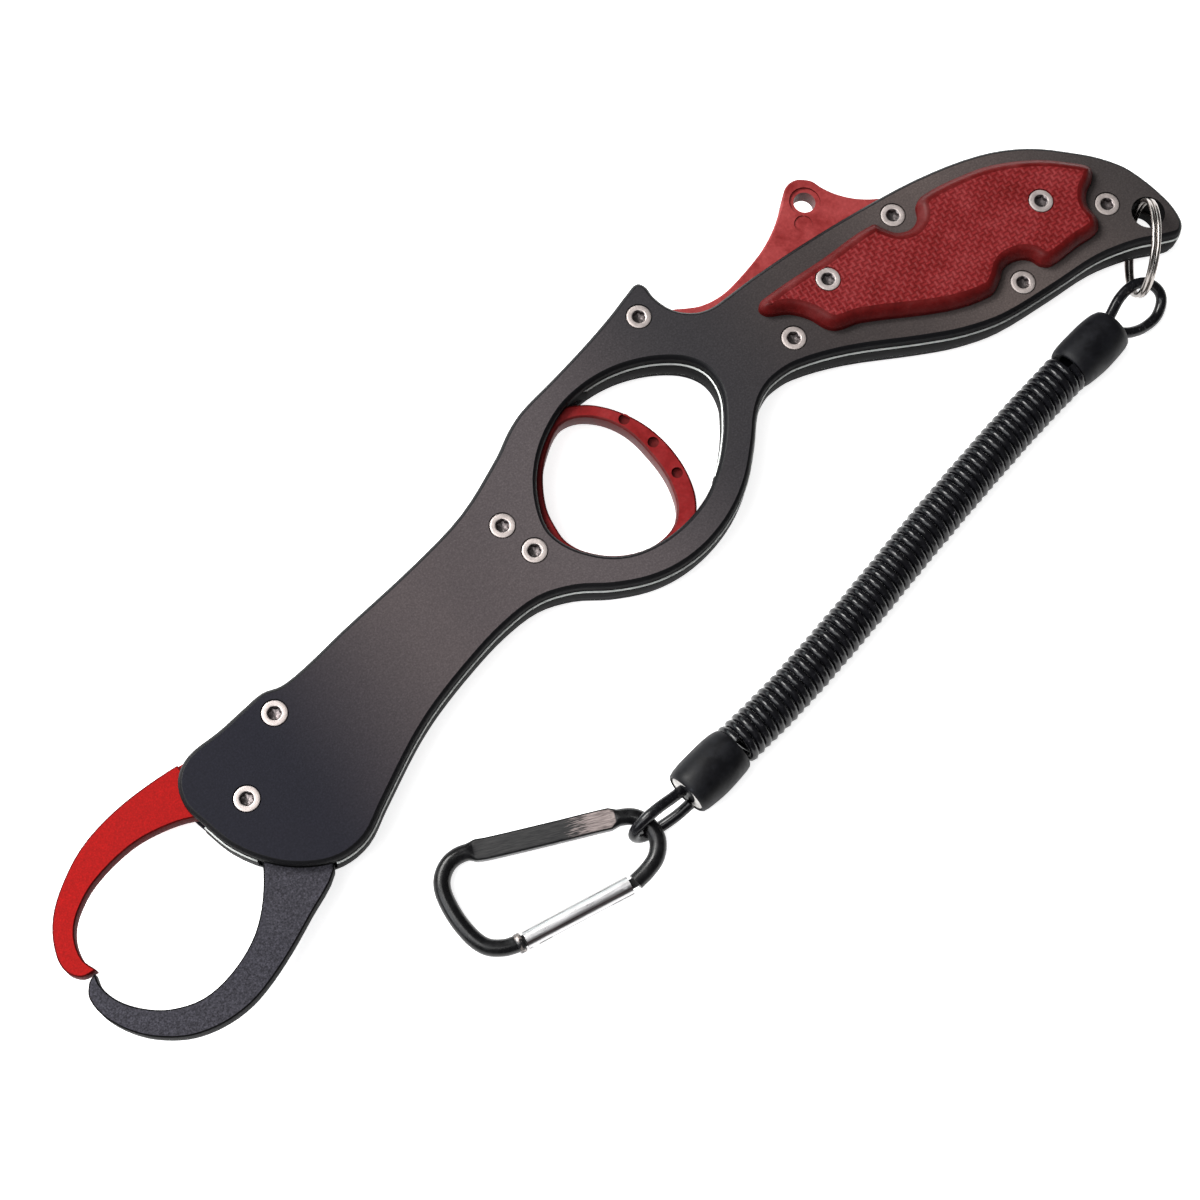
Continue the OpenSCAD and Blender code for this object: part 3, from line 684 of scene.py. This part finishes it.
def finish_rim(bm, level, up, profile, shortest, rim_finish=WALL):
    """Gives the flat face at that level a shaped rim. profile is a list of (inwards, below the face),
    from the wall to the face. Only loops longer than shortest, in millimetres, get it."""
    flat, loops = rim_loops(bm, level, up)
    bmesh.ops.delete(bm, geom=flat, context="FACES_ONLY")
    outer_lines = []
    for li, loop in enumerate(loops):
        flat_pts = [Vector((v.co.x, v.co.y)) for v in loop]
        area = polygon_area(flat_pts)
        # how deep the loop is nested says on which side of it the material lies
        probe = np.array([[flat_pts[0].x, flat_pts[0].y]])
        others = [[(v.co.x, v.co.y) for v in o] for oi, o in enumerate(loops) if oi != li]
        nested = inside_count(probe, others)[0] % 2
        solid_left = (area > 0) != bool(nested)
        length = sum((a - b).length for a, b in zip(flat_pts, flat_pts[1:] + flat_pts[:1]))
        if length <= shortest * MM:
            outer_lines.append(loop)
            continue
        steps = inset_directions(flat_pts, solid_left)
        inward0, below0 = profile[0]
        for v, p, s in zip(loop, flat_pts, steps):
            q = p + s * inward0
            v.co = Vector((q.x, q.y, level - up * below0))
        ring = loop
        for inward, below in profile[1:]:
            new = []
            for p, s in zip(flat_pts, steps):
                q = p + s * inward
                new.append(bm.verts.new((q.x, q.y, level - up * below)))
            n = len(new)
            for i in range(n):
                j = (i + 1) % n
                face = bm.faces.new([ring[i], ring[j], new[j], new[i]])
                face.material_index = rim_finish
                face.normal_update()
                out = Vector((-steps[i].x, -steps[i].y, up * 0.5))
                if face.normal.dot(out) < 0:
                    face.normal_flip()
            ring = new
        outer_lines.append(ring)
    verts, edges, start = [], [], 0
    for line in outer_lines:
        verts += line
        edges += [(start + i, start + (i + 1) % len(line)) for i in range(len(line))]
        start += len(line)
    # the face inside its rims is filled again, worked out in millimetres
    flat2d = [Vector((v.co.x, v.co.y)) * 1000 for v in verts]
    points2d, _, tris, origins, _, _ = delaunay_2d_cdt(flat2d, edges, [], 0, 1e-7)
    centres = np.array([[sum(points2d[i].x for i in t) / 3, sum(points2d[i].y for i in t) / 3] for t in tris])
    lines = [[(v.co.x * 1000, v.co.y * 1000) for v in line] for line in outer_lines]
    kept = inside_count(centres, lines) % 2 == 1
    z = level - up * profile[-1][1]
    lookup = [verts[o[0]] if o else None for o in origins]
    for i, v in enumerate(lookup):
        if v is None:
            lookup[i] = bm.verts.new((points2d[i].x / 1000, points2d[i].y / 1000, z))
    for t, keep in zip(tris, kept):
        if not keep:
            continue
        corner = [lookup[i] for i in t]
        if len(set(corner)) < 3:
            continue
        try:
            face = bm.faces.new(corner)
        except ValueError:
            continue
        face.material_index = FACE
        face.normal_update()
        if face.normal.z * up < 0:
            face.normal_flip()


def piece_from(bm, name, materials, node, body, angle=28):
    mesh = bpy.data.meshes.new(name)
    bm.to_mesh(mesh)
    bm.free()
    for m in materials:
        mesh.materials.append(m)
    obj = bpy.data.objects.new(name, mesh)
    bpy.context.scene.collection.objects.link(obj)
    finish_shading(mesh, angle)
    ride_as(obj, body, node)


def rounded(radius):
    """A quarter-round rim, from the wall to the face."""
    angles = [math.pi / 8 * i for i in range(5)]
    return [(radius * (1 - math.cos(a)) * MM, radius * (1 - math.sin(a)) * MM) for a in angles]


def chamfered(size, soft):
    """A straight chamfer as wide as it is deep, with its two corners just broken."""
    broken = soft * 0.3
    corners = [(0, size + soft), (broken, size), (size - broken, broken), (size + soft, 0)]
    return [(inward * MM, below * MM) for inward, below in corners]


def both_rims(bm, inset, profile, shortest, rim_finish=WALL):
    """The same rim on the two faces of a slab that lies in the gap, inset from the plates."""
    finish_rim(bm, GAP_HIGH - inset * MM, 1, profile, shortest, rim_finish)
    finish_rim(bm, GAP_LOW + inset * MM, -1, profile, shortest, rim_finish)


# The walls get the slab's second material, a darker copy of its face's colour: painted shade.
def paint_walls(bm):
    for face in bm.faces:
        if abs(face.normal.z) < 0.3:
            face.material_index = WALL


def shade_hollows(bm, low, high):
    """Gives the floors of a moulding's dimples the darker wall colour: painted shade in the hollows."""
    for face in bm.faces:
        if abs(face.normal.z) > 0.7 and low < face.calc_center_median().z < high:
            face.material_index = WALL


def make_plates():
    for node, outer, up in (("front_plate", PLATE_TOP, 1), ("rear_plate", REAR_PLATE_LOW, -1)):
        bm = merged_copy(node)
        paint_walls(bm)
        finish_rim(bm, outer, up, chamfered(0.75, 0.12), 60, CHAMFER)
        piece_from(bm, node + "_shaped", [plate_metal, plate_shaded_wall, plate_chamfer], node, "grip")


def make_core():
    for node, shortest in (("core_frame", 60), ("head_spacer", 10)):
        bm = merged_copy(node)
        both_rims(bm, 0, chamfered(0.24, 0.03), shortest)
        piece_from(bm, node + "_shaped", [core_metal, bright_edge], node, "grip")


def make_scales():
    rim = [(0, 1.9), (0.12, 1.5), (1.1, 0.5), (1.45, 0.22), (1.9, 0.05), (2.4, 0)]
    for node, outer, up in (("front_scale", SCALE_TOP, 1), ("rear_scale", 0.0, -1)):
        bm = merged_copy(node)
        paint_walls(bm)
        finish_rim(bm, outer, up, [(inward * MM, below * MM) for inward, below in rim], 60)
        piece_from(bm, node + "_moulded", [grip_woven, grip_shaded_wall], node, "grip", 40)


def make_trigger():
    bm = merged_copy("trigger")
    paint_walls(bm)
    both_rims(bm, 0.3, rounded(0.45), 40)
    shade_hollows(bm, GAP_LOW + 0.4 * MM, GAP_HIGH - 0.4 * MM)
    piece_from(bm, "trigger_moulded", [grip_plastic, grip_shaded_wall], "trigger", "trigger", 40)


def make_spine():
    bm = merged_copy("spine_insert")
    paint_walls(bm)
    both_rims(bm, 0, rounded(0.5), 60, FACE)
    piece_from(bm, "spine_insert_moulded", [spine_plastic_glare, grip_shaded_wall], "spine_insert", "grip", 40)


def make_jaws():
    for node, inset, finish, body, slot in (
            ("moving_jaw", 0.4, [jaw_red_metal, jaw_red_shaded_wall], "jaw", "jaw_red"),
            ("fixed_jaw", 0, [jaw_black_metal, plate_shaded_wall], "grip", "jaw_black")):
        bm = merged_copy(node)
        paint_walls(bm)
        both_rims(bm, inset, chamfered(0.25, 0.05), 40)
        piece_from(bm, node + "_finished", finish, node, body)


make_plates()
make_core()
make_scales()
make_trigger()
make_spine()
make_jaws()


# ---- screws

SCREW_HEAD = 2.62
SCREW_SIDES = 48
SCREW_SUNK = 0.04 * MM


def screw_mesh():
    """One countersunk screw standing on the origin, its head's face at z = 0, with its six-lobe socket."""
    # radius, height and depth of the six lobes of each row, from the shank's end to the socket's floor
    rows = [(1.4, -2.6, 0), (1.45, -1.5, 0), (SCREW_HEAD - 0.1, -0.42, 0), (SCREW_HEAD, -0.3, 0),
            (SCREW_HEAD, -0.14, 0), (SCREW_HEAD - 0.06, -0.05, 0), (SCREW_HEAD - 0.2, -0.01, 0),
            (SCREW_HEAD - 0.5, 0, 0), (1.75, 0, 0), (1.5, -0.02, 0), (1.36, -0.1, 0.05), (1.22, -0.26, 0.13),
            (1.16, -0.5, 0.16), (1.12, -1.05, 0.16), (0.55, -1.12, 0.03)]
    socket_from = 9
    n = SCREW_SIDES
    verts = []
    for radius, z, lobes in rows:
        for i in range(n):
            a = 2 * math.pi * i / n
            r = radius + lobes * math.cos(6 * a)
            verts.append((r * math.cos(a) * MM, r * math.sin(a) * MM, z * MM))
    verts.append((0, 0, -1.3 * MM))
    faces = wall_faces(len(rows), n) + end_faces(len(rows), n)[:1]
    socket = [j >= socket_from for j in range(len(rows) - 1) for i in range(n)] + [False] + [True] * n
    last = (len(rows) - 1) * n
    faces += [(last + i, last + (i + 1) % n, len(verts) - 1) for i in range(n)]
    mesh = bpy.data.meshes.new("screw")
    mesh.from_pydata(verts, [], faces)
    mesh.attributes.new("socket", "BOOLEAN", "FACE").data.foreach_set("value", socket)
    finish_shading(mesh, 38)
    obj = bpy.data.objects.new("screw", mesh)
    bpy.context.scene.collection.objects.link(obj)
    return obj


class Tree:
    """A geometry tree with named inputs, a mesh in and a mesh out."""

    def __init__(self, name):
        self.tree = bpy.data.node_groups.new(name, "GeometryNodeTree")
        self.inputs = {}
        self.socket("Mesh", "NodeSocketGeometry")
        self.tree.interface.new_socket("Mesh", in_out="OUTPUT", socket_type="NodeSocketGeometry")
        self.start = self.tree.nodes.new("NodeGroupInput")
        self.end = self.tree.nodes.new("NodeGroupOutput")

    def socket(self, label, kind, value=None):
        item = self.tree.interface.new_socket(label, in_out="INPUT", socket_type=kind)
        self.inputs[label] = (item.identifier, value)

    def add(self, kind, links=(), **settings):
        node = self.tree.nodes.new(kind)
        for key, value in settings.items():
            setattr(node, key, value)
        for slot, source in dict(links).items():
            if isinstance(source, bpy.types.NodeSocket):
                self.tree.links.new(source, node.inputs[slot])
            else:
                node.inputs[slot].default_value = source
        return node

    def given(self, label):
        return self.start.outputs[label]

    def finish(self, geometry):
        self.tree.links.new(geometry, self.end.inputs[0])

    def grown_from(self, name, mesh):
        """The tree's result on that mesh, as a plain object with a plain mesh."""
        obj = bpy.data.objects.new(name + "_seed", mesh)
        bpy.context.scene.collection.objects.link(obj)
        modifier = obj.modifiers.new(name, "NODES")
        modifier.node_group = self.tree
        for identifier, value in self.inputs.values():
            if value is not None:
                modifier[identifier] = value
        bpy.context.view_layer.update()
        ready = obj.evaluated_get(bpy.context.evaluated_depsgraph_get())
        made = bpy.data.meshes.new_from_object(ready)
        made.name = name
        obj.modifiers.remove(modifier)
        bpy.data.objects.remove(obj)
        result = bpy.data.objects.new(name, made)
        bpy.context.scene.collection.objects.link(result)
        return result


def screw_tree(screw, flip, seed):
    """Sets a screw on every point, each turned at random about its own axis."""
    t = Tree("screw_set")
    t.socket("Screw", "NodeSocketObject", screw)
    t.socket("Flip", "NodeSocketFloat", flip)
    t.socket("Seed", "NodeSocketInt", seed)
    t.socket("Head finish", "NodeSocketMaterial", screw_steel)
    # the sockets get the darker steel: painted shade in the recess
    t.socket("Socket finish", "NodeSocketMaterial", socket_steel)
    points = t.add("GeometryNodeMeshToPoints", {"Mesh": t.given("Mesh")})
    item = t.add("GeometryNodeObjectInfo", {"Object": t.given("Screw")})
    turn = t.add("FunctionNodeRandomValue", {"Seed": t.given("Seed")}, data_type="FLOAT")
    turn.inputs[3].default_value = 2 * math.pi
    angles = t.add("ShaderNodeCombineXYZ", {"X": t.given("Flip"), "Z": turn.outputs[1]})
    placed = t.add("GeometryNodeInstanceOnPoints", {
        "Points": points.outputs[0], "Instance": item.outputs["Geometry"], "Rotation": angles.outputs[0]})
    solid = t.add("GeometryNodeRealizeInstances", {"Geometry": placed.outputs[0]})
    head = t.add("GeometryNodeSetMaterial", {
        "Geometry": solid.outputs[0], "Material": t.given("Head finish")})
    mark = t.add("GeometryNodeInputNamedAttribute", data_type="BOOLEAN")
    mark.inputs[0].default_value = "socket"
    both = t.add("GeometryNodeSetMaterial", {
        "Geometry": head.outputs[0], "Material": t.given("Socket finish"), "Selection": mark.outputs[0]})
    t.finish(both.outputs[0])
    return t


def make_screws():
    screw = screw_mesh()
    sets = (("front_screws", PLATE_SCREWS, PLATE_TOP - SCREW_SUNK, 0.0, 3),
            ("rear_screws", PLATE_SCREWS, REAR_PLATE_LOW + SCREW_SUNK, math.pi, 5),
            ("front_scale_screws", SCALE_SCREWS, SCALE_TOP - SCREW_SUNK, 0.0, 7),
            ("rear_scale_screws", SCALE_SCREWS, SCREW_SUNK, math.pi, 9))
    for node, places, level, flip, seed in sets:
        mesh = bpy.data.meshes.new(node + "_points")
        mesh.from_pydata([(x * MM, y * MM, level) for x, y in places], [], [])
        piece = screw_tree(screw, flip, seed).grown_from(node + "_detailed", mesh)
        ride_as(piece, "grip", node)
    bpy.data.objects.remove(screw)


make_screws()


# ---- caps, plugs and ring

CORD_TURN = math.radians(9.5)
CORD_DIRECTION = Vector((math.cos(CORD_TURN), math.sin(CORD_TURN), 0))
CORD_SIDE = Vector((-CORD_DIRECTION.y, CORD_DIRECTION.x, 0))
UP = Vector((0, 0, 1))
UPPER_CAP_LENGTH = 14.3
LOWER_CAP_LENGTH = 13.8
CAP_DIMPLE = 0.006  # how far a moulded barrel is from round, as a share of its radius


def turned_piece(name, start, profile, materials, dimple=0.0):
    """A piece turned on the lanyard's axis: profile is a closed list of (along, radius) in millimetres."""
    sides = 56
    verts = []
    for along, radius in profile:
        for i in range(sides):
            a = 2 * math.pi * i / sides
            r = radius * (1 + dimple * math.sin(3 * a + along * 0.7))
            out = r * (math.cos(a) * CORD_SIDE + math.sin(a) * UP)
            verts.append((start + along * CORD_DIRECTION + out) * MM)
    faces = wall_faces(len(profile), sides, closed=True)
    return outward(new_piece(name, verts, faces, materials, 32), 32)


def barrel(length, coil_end, belly, mouth_end, bore, mouth):
    """A blunt barrel's closed profile, from the coil's end to the mouth and back through the bore."""
    out = [(0, coil_end - 0.6), (0.1, coil_end - 0.25), (0.4, coil_end)]
    for i in range(1, 14):
        t = i / 14
        end = coil_end + (mouth_end - coil_end) * t * t
        out.append((0.4 + (length - 0.8) * t, end + (belly - end) * math.sin(math.pi * t) ** 0.55))
    return out + [(length - 0.35, mouth_end), (length - 0.1, mouth_end - 0.25), (length, mouth_end - 0.5),
                  (length - 0.02, mouth + 0.12), (length - 0.25, mouth), (length - 2.5, mouth),
                  (length - 2.6, bore), (1.0, bore)]


def cord_boss(name, start, length):
    """An upright oblong rubber boss, through which the two strands of a loop come out."""
    half_width, half_height, sides = 2.3, 3.9, 40
    verts = []
    rows = [(0, 1.0), (0.8, 1.0), (0.95, 0.94), (1.0, 0.84)]
    for t, grow in rows:
        for i in range(sides):
            a = 2 * math.pi * i / sides
            verts.append((start + t * length * CORD_DIRECTION + half_width * grow * math.cos(a) * CORD_SIDE
                          + half_height * grow * math.sin(a) * UP) * MM)
    faces = wall_faces(len(rows), sides) + end_faces(len(rows), sides)
    return outward(new_piece(name, verts, faces, [cap_black], 40))


def make_caps():
    high = COIL_HIGH
    low = COIL_LOW - LOWER_CAP_LENGTH * CORD_DIRECTION
    upper = turned_piece("upper_cap_barrel", high, barrel(UPPER_CAP_LENGTH, 5.0, 5.58, 4.9, 3.2, 3.3),
                         [cap_black], CAP_DIMPLE)
    # the lower barrel's profile is turned end for end, because its mouth looks the other way
    profile = [(LOWER_CAP_LENGTH - a, r) for a, r in barrel(LOWER_CAP_LENGTH, 5.0, 5.58, 4.95, 3.9, 4.35)]
    lower = turned_piece("lower_cap_barrel", low, profile, [cap_black], CAP_DIMPLE)
    up_profile = [(9, 0.01), (9, 3.15), (13.5, 3.15), (13.8, 2.9), (13.9, 2.3), (13.9, 0.01)]
    low_profile = [(6, 0.01), (6, 3.8), (2.6, 3.8), (2.55, 4.3), (0.6, 4.3), (0.3, 4.1), (0.2, 3.6),
                   (0.2, 0.01)]
    up_plug = turned_piece("upper_plug_face", high, up_profile, [plug_grey])
    low_plug = turned_piece("lower_plug_face", low, low_profile, [plug_grey])
    boss = cord_boss("lower_cord_boss", low + 1.2 * CORD_DIRECTION, -1.1)
    for piece, node, slot in ((boss, "lower_plug", "cap_black"),
                              (upper, "upper_cap", "cap_black"), (lower, "lower_cap", "cap_black"),
                              (up_plug, "upper_plug", "plug_grey"), (low_plug, "lower_plug", "plug_grey")):
        ride_as(piece, "lanyard", node)
    return (upper, up_plug), (lower, low_plug, boss)


RING_CENTRE = Vector((48.5, -17.2, 11.4))
RING_RADIUS = 10.2
RING_WIRE = 0.5
RING_STEP = 0.52


def make_ring():
    """The split ring: one wire wound twice, its second turn stepping past the first."""
    turn = Matrix.Rotation(math.radians(52), 3, "Z") @ Matrix.Rotation(math.radians(91), 3, "X")
    points = []
    steps = 200
    for i in range(steps + 1):
        t = i / steps
        a = math.radians(-20) + t * math.radians(704)
        side = RING_STEP * (2 * min(1, max(0, (t - 0.44) / 0.12)) - 1)
        local = Vector((RING_RADIUS * math.cos(a), RING_RADIUS * math.sin(a), side))
        points.append((RING_CENTRE + turn @ local) * MM)
    piece = tube_mesh("split_ring_wire", points, RING_WIRE * MM, 12, [ring_steel], tuple(turn @ UP))
    ride_as(piece, "lanyard", "split_ring")


SPRING_START, SPRING_LENGTH, SPRING_RADIUS = -123.7, 17.8, 1.97
LINK_Y, LINK_Z = 4.55, 8


def make_spring():
    """The return spring's wire, wound round the link between the collar and the cavity's end."""
    points = []
    turns, steps = 11, 16
    for i in range(turns * steps + 1):
        t = i / (turns * steps)
        # the middle turns lie a little closer together than the end ones
        eased = t + 0.018 * math.sin(2 * math.pi * t)
        a = 2 * math.pi * i / steps
        points.append(Vector((SPRING_START + SPRING_LENGTH * eased, LINK_Y + SPRING_RADIUS * math.cos(a),
                              LINK_Z + SPRING_RADIUS * math.sin(a))) * MM)
    piece = tube_mesh("return_spring_wire", points, 0.24 * MM, 8, [inner_steel], (1, 0, 0))
    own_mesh(piece)
    ride_as(piece, "grip", "return_spring")


caps = make_caps()
make_ring()
make_spring()


# ---- snap hook

HOOK_FAR_END = Vector((-156, 0, 0))


def tipped(point):
    """The hook's own place tipped up about its far end, as the part does."""
    return (Matrix.Rotation(HOOK_TIP, 3, "Y") @ (Vector(point) - HOOK_FAR_END) + HOOK_FAR_END) * MM


def hook_wire():
    """Round wire bent to shape, pressed flat and wider along its back."""
    middle = smooth_route([(x, y, HOOK_Z) for x, y in HOOK_ROUTE], 10)
    along = (FLAT_TO - FLAT_FROM).normalized()
    length = (FLAT_TO - FLAT_FROM).length
    sides, n = 28, len(middle)
    verts = []
    for i, p in enumerate(middle):
        t = (middle[min(i + 1, n - 1)] - middle[max(i - 1, 0)]).normalized()
        side = t.cross(UP).normalized()
        at = (Vector((p.x, p.y, 0)) - FLAT_FROM).dot(along)
        off = (Vector((p.x, p.y, 0)) - FLAT_FROM - at * along).length
        # from round, 0, to flat, 1, over 1.6 mm at each end of the back
        flat = min(1, max(0, min(at + 0.8, length - at + 0.8) / 1.6)) if off < 2.5 else 0
        power = 1 - 0.72 * flat
        for k in range(sides):
            a = 2 * math.pi * (k + 0.5) / sides
            c, s = math.cos(a), math.sin(a)
            wide = (HOOK_WIRE + 0.5 * flat) * math.copysign(abs(c) ** power, c)
            high = (HOOK_WIRE - 0.3 * flat) * math.copysign(abs(s) ** power, s)
            verts.append(tipped(p + side * wide + UP * high))
    return new_piece("hook_wire", verts, wall_faces(n, sides) + end_faces(n, sides), [hook_black], 40)


def make_hook():
    """The bent wire, a worn bead at its nose, and a tongue at each end for the gate."""
    pieces = [hook_wire(),
              round_rod("hook_nose", GATE_B + 0.5 * GATE_U, GATE_B + 2.0 * GATE_U, 2.08, [hook_worn], 0.35),
              tongue_piece("nose_tongue", GATE_B + GATE_U, GATE_B - 2.5 * GATE_U, 1.2),
              tongue_piece("root_tongue", GATE_A - 2 * GATE_U, GATE_A + 2.3 * GATE_U, 1.0)]
    for piece in pieces:
        ride_as(piece, "lanyard", "hook_body")
    return pieces


def round_rod(name, a, b, radius, materials, round_off):
    """A short solid of round section with rounded ends."""
    u = (b - a).normalized()
    length = (b - a).length
    profile = [(0, radius - round_off), (0.3 * round_off, radius - 0.3 * round_off), (round_off, radius),
               (length - round_off, radius), (length - 0.3 * round_off, radius - 0.3 * round_off),
               (length, radius - round_off)]
    side = u.cross(UP).normalized()
    top = side.cross(u)
    sides, verts = 36, []
    for along, r in profile:
        for k in range(sides):
            angle = 2 * math.pi * k / sides
            verts.append(tipped(a + along * u + r * (math.cos(angle) * side + math.sin(angle) * top)))
    faces = wall_faces(len(profile), sides) + end_faces(len(profile), sides)
    return outward(new_piece(name, verts, faces, materials, 40))


def tongue_piece(name, a, b, half_width):
    """A flat tongue, about a millimetre thick, that fits in the gate's slot."""
    side = (b - a).normalized().cross(UP).normalized()
    verts = [tipped(p + s * half_width * side + z * 0.48 * UP)
             for p in (a, b) for s in (-1, 1) for z in (-1, 1)]
    faces = [(0, 1, 3, 2), (4, 6, 7, 5), (0, 4, 5, 1), (2, 3, 7, 6), (0, 2, 6, 4), (1, 5, 7, 3)]
    obj = outward(new_piece(name, verts, faces, [hook_black], 30))
    bevel = obj.modifiers.new("softened", "BEVEL")
    bevel.width = 0.12 * MM
    bevel.segments = 2
    return obj


hook_pieces = make_hook()


# ---- carried-over nodes

def dress(node, mat):
    obj = NODES[node]
    obj.data.materials.clear()
    obj.data.materials.append(mat)


for node in ("jaw_pivot", "head_post", "draw_link", "drive_pin", "spring_collar", "trigger_pin"):
    dress(node, inner_steel)
for node in ("thrust_washer", "spine_sleeves"):
    dress(node, bronze)
dress("latch_pin", hook_black)
for node in ("hook_gate", "gate_rivet"):
    dress(node, gate_metal)


# ---- stage and light

def pale_floor():
    """A white table that glows a little, so that the shadows on it stay faint."""
    mat = material("pale_floor", (0.9, 0.9, 0.9), roughness=0.9, specular=0.1)
    bsdf = mat.node_tree.nodes["Principled BSDF"]
    bsdf.inputs["Emission Color"].default_value = (1, 1, 1, 1)
    bsdf.inputs["Emission Strength"].default_value = 0.8
    return mat


def make_stage():
    half = 3.0
    corners = [(-half, -half, 0), (half, -half, 0), (half, half, 0), (-half, half, 0)]
    new_piece("floor", corners, [(0, 1, 2, 3)], [pale_floor()])


def soft_light(name, place, target, size, power, colour=(1, 1, 1)):
    data = bpy.data.lights.new(name, "AREA")
    data.shape = "RECTANGLE"
    data.size, data.size_y = size
    data.energy = power
    data.color = colour
    light = bpy.data.objects.new(name, data)
    aim = Vector(target) - Vector(place)
    light.matrix_world = Matrix.Translation(place) @ aim.to_track_quat("-Z", "Y").to_matrix().to_4x4()
    bpy.context.scene.collection.objects.link(light)


def make_lights():
    middle = (-0.08, -0.01, 0)
    soft_light("key_softbox", (-0.65, 1.15, 1.25), middle, (0.9, 0.7), 44, (1.0, 0.99, 0.97))
    soft_light("left_softbox", (-1.3, 0.3, 0.9), middle, (0.7, 0.9), 10, (0.94, 0.97, 1.0))
    soft_light("high_softbox", (-0.75, 0.1, 1.6), middle, (0.8, 0.8), 12)
    soft_light("far_strip", (-0.35, 1.5, 0.42), middle, (1.6, 0.35), 5, (0.9, 1.0, 1.0))
    world = bpy.data.worlds.new("room")
    world.use_nodes = True
    world.node_tree.nodes["Background"].inputs["Color"].default_value = (1, 1, 1, 1)
    world.node_tree.nodes["Background"].inputs["Strength"].default_value = 0.12
    bpy.context.scene.world = world


make_stage()
make_lights()
